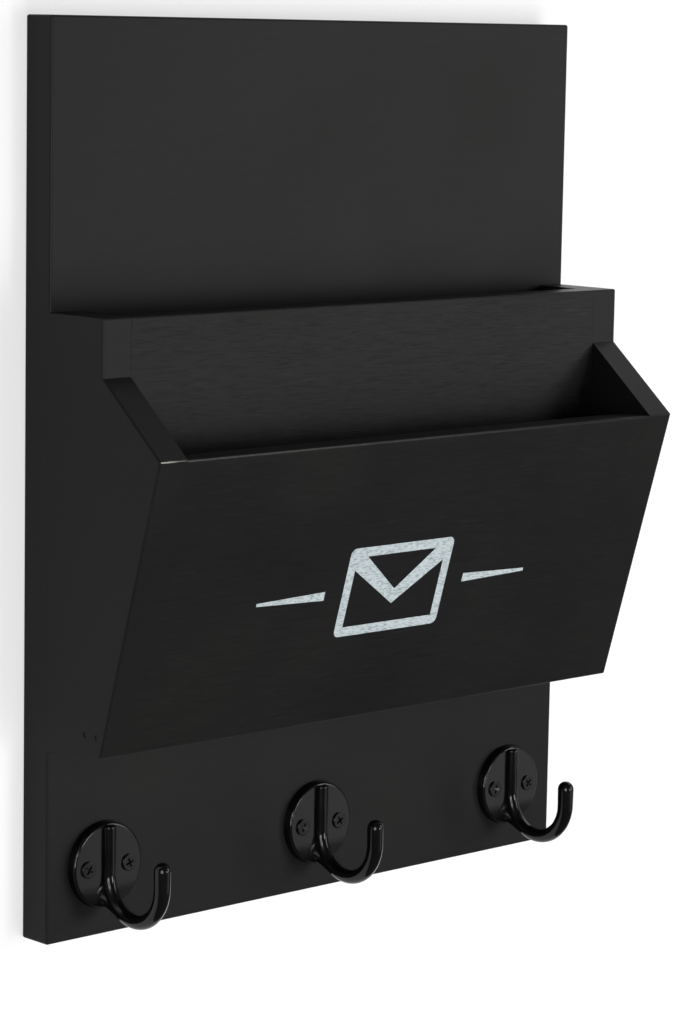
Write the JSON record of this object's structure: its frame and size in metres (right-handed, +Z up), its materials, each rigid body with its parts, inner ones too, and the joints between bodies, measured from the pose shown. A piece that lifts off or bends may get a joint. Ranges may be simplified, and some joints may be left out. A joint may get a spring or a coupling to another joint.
{
  "type": "wall mail organizer",
  "caption": "Black wooden wall organizer: back board with a two-compartment letter pocket, slanted front, and a row of cast coat hooks below.",
  "frame": {"origin": "on the wall face of the back board, midway between the seats of the two wall screws that it hangs on, 45 mm under the board's top edge", "axes": "+X to the right seen from the front, +Y into the wall, +Z up"},
  "size_m": [0.316, 0.0902, 0.4],
  "materials": {
    "black_wood": "near-black satin paint over fine straight grain",
    "black_enamel": "glossy black enamel on cast metal",
    "black_screw": "semi-gloss black",
    "painted_brad": "steel, head painted over with the wood",
    "zinc_steel": "dull zinc plating"
  },
  "bodies": {
    "root": {"back_board": "black_wood", "left_side": "black_wood", "right_side": "black_wood", "divider_panel": "black_wood", "front_panel": "black_wood", "bottom_shelf": "black_wood", "hook_left": "black_enamel", "hook_middle": "black_enamel", "hook_right": "black_enamel", "hook_screw_left_a": "black_screw", "hook_screw_left_b": "black_screw", "hook_screw_middle_a": "black_screw", "hook_screw_middle_b": "black_screw", "hook_screw_right_a": "black_screw", "hook_screw_right_b": "black_screw", "brads_left": "painted_brad", "brads_right": "painted_brad", "side_screw_left_upper": "zinc_steel", "side_screw_left_lower": "zinc_steel", "side_screw_right_upper": "zinc_steel", "side_screw_right_lower": "zinc_steel", "shelf_screw_left": "zinc_steel", "shelf_screw_right": "zinc_steel", "keyhole_plate_left": "zinc_steel", "keyhole_plate_right": "zinc_steel", "plate_screw_left_top": "zinc_steel", "plate_screw_left_bottom": "zinc_steel", "plate_screw_right_top": "zinc_steel", "plate_screw_right_bottom": "zinc_steel"}
  },
  "joints": []
}
